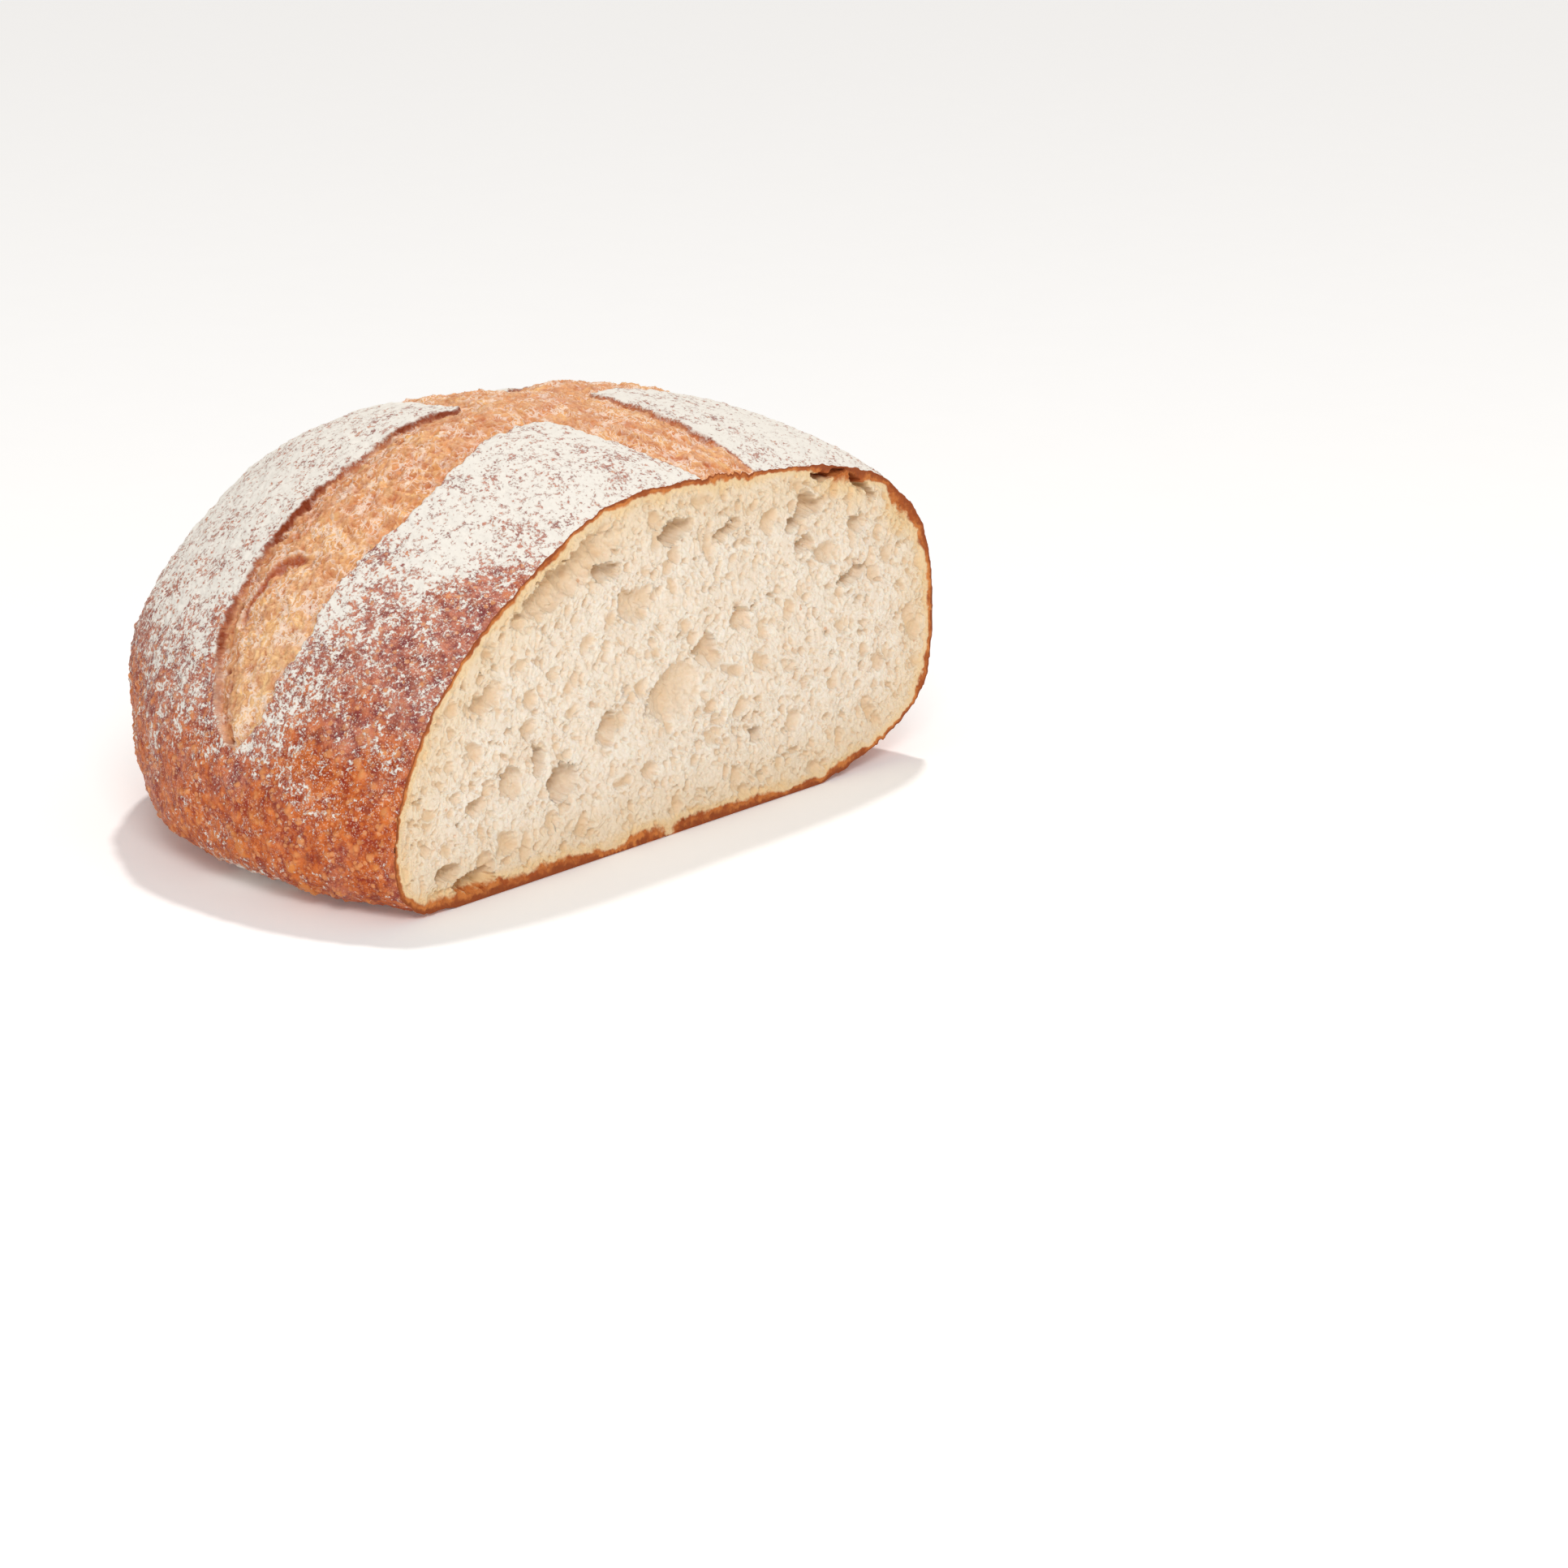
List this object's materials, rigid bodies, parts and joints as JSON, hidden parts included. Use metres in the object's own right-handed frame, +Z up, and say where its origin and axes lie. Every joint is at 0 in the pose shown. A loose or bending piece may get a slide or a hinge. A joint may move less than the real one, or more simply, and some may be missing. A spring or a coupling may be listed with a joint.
{
  "type": "sourdough loaf",
  "caption": "Round floured sourdough loaf with a cross of two opened slashes, one end cut off flat to show the pale crumb.",
  "frame": {"origin": "centre of the bounding box in plan, at the level of the flat underside", "axes": "+Z up from the underside, -Y out of the flat cut face, +X along the cut face to the right as seen from in front of it"},
  "size_m": [0.2472, 0.1694, 0.1191],
  "materials": {
    "bread": "matt baked crust under patches of flour, soft open crumb on the cut face"
  },
  "bodies": {
    "root": {"loaf": "bread"}
  },
  "joints": []
}
